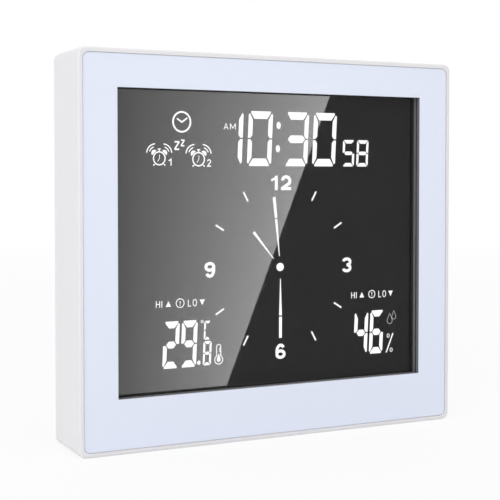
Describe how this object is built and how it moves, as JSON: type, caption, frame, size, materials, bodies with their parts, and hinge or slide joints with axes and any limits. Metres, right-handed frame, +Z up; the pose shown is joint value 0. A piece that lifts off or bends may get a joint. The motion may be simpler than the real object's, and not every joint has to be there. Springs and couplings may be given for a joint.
{
  "type": "thermometer hygrometer clock",
  "caption": "Flat white desk and wall clock with a pale bezel and a black segment display of time, dial, temperature and humidity, with keys, stand and battery bay on the back.",
  "frame": {"origin": "centre of the bounding box at the bottom face that the clock stands on", "axes": "+Z up, +X to the right as seen from the front, the display faces -Y"},
  "size_m": [0.172, 0.032, 0.158],
  "materials": {
    "case_white": "satin moulded white ABS",
    "cover_white": "fine-grained moulded white ABS",
    "panel_blue": "satin pale blue sheet",
    "lens_clear": "polished clear acrylic",
    "gasket_foam": "matt black foam",
    "display_film": "black polarizing film",
    "display_glass": "clear display glass",
    "diffuser_white": "white sheet",
    "guide_clear": "clear acrylic",
    "holder_white": "moulded white plastic",
    "board_green": "green solder mask",
    "led_yellow": "phosphor-filled lamp bodies",
    "strip_rubber": "layered elastomer",
    "epoxy_black": "black moulded epoxy and plastic",
    "can_metal": "drawn metal can",
    "socket_white": "natural nylon",
    "screw_steel": "zinc-plated steel",
    "sounder_brass": "thin brass plate",
    "sounder_ceramic": "silvered ceramic disc",
    "contact_nickel": "nickel-plated spring steel",
    "cell_label": "plain printed sleeve",
    "key_grey": "moulded grey plastic",
    "stem_black": "black moulded plastic",
    "lead_red": "red wire insulation",
    "lead_black": "black wire insulation",
    "ribbon_grey": "flat cable"
  },
  "bodies": {
    "case": {"backlight_diffuser": "diffuser_white", "backlight_leds": "led_yellow", "batteries": "cell_label", "bezel_panel": "panel_blue", "black_lead": "lead_black", "board_capacitors": "can_metal", "board_resistors": "epoxy_black", "board_screws": "screw_steel", "bridge_contact": "contact_nickel", "buzzer_ceramic": "sounder_ceramic", "buzzer_leads": "lead_black", "buzzer_plate": "sounder_brass", "case_screws": "screw_steel", "clock_crystal": "can_metal", "contact_strip": "strip_rubber", "controller_cap": "epoxy_black", "dust_gasket": "gasket_foam", "front_case": "case_white", "front_polarizer": "display_film", "holder_screws": "screw_steel", "key_board": "board_green", "key_board_screws": "screw_steel", "key_ribbon": "ribbon_grey", "key_switches": "epoxy_black", "kickstand_pin": "screw_steel", "lcd_front_glass": "display_glass", "lcd_holder": "holder_white", "lcd_rear_glass": "display_glass", "lead_socket": "socket_white", "led_boards": "board_green", "light_guide": "guide_clear", "main_board": "board_green", "negative_contact": "contact_nickel", "positive_contact": "contact_nickel", "rear_cover": "cover_white", "rear_polarizer": "display_film", "red_lead": "lead_red", "reflector_sheet": "diffuser_white", "sensor_board": "board_green", "sensor_chip": "epoxy_black", "sensor_ribbon": "ribbon_grey", "window_lens": "lens_clear"},
    "kickstand": {"kickstand": "cover_white"},
    "battery_door": {"battery_door": "cover_white"},
    "set_key": {"set_key": "key_grey", "set_stem": "stem_black"},
    "alarm_key": {"alarm_key": "key_grey", "alarm_stem": "stem_black"},
    "snooze_key": {"snooze_key": "key_grey", "snooze_stem": "stem_black"},
    "down_key": {"down_key": "key_grey", "down_stem": "stem_black"},
    "up_key": {"up_key": "key_grey", "up_stem": "stem_black"}
  },
  "joints": [
    {"name": "kickstand_hinge", "type": "hinge", "parent": "case", "child": "kickstand", "pos_m": [0, 0.0133, 0.089], "axis": [1, 0, 0], "range_deg": [0, 38]},
    {"name": "battery_door_hinge", "type": "hinge", "parent": "case", "child": "battery_door", "pos_m": [0.057, 0.0146, 0.074], "axis": [1, 0, 0], "range_deg": [0, 85]},
    {"name": "set_key_press", "type": "slide", "parent": "case", "child": "set_key", "axis": [0, -1, 0], "range_m": [0, 0.0005], "stiffness_N_per_m": 1500},
    {"name": "alarm_key_press", "type": "slide", "parent": "case", "child": "alarm_key", "axis": [0, -1, 0], "range_m": [0, 0.0005], "stiffness_N_per_m": 1500},
    {"name": "snooze_key_press", "type": "slide", "parent": "case", "child": "snooze_key", "axis": [0, -1, 0], "range_m": [0, 0.0005], "stiffness_N_per_m": 1500},
    {"name": "down_key_press", "type": "slide", "parent": "case", "child": "down_key", "axis": [0, -1, 0], "range_m": [0, 0.0005], "stiffness_N_per_m": 1500},
    {"name": "up_key_press", "type": "slide", "parent": "case", "child": "up_key", "axis": [0, -1, 0], "range_m": [0, 0.0005], "stiffness_N_per_m": 1500}
  ]
}
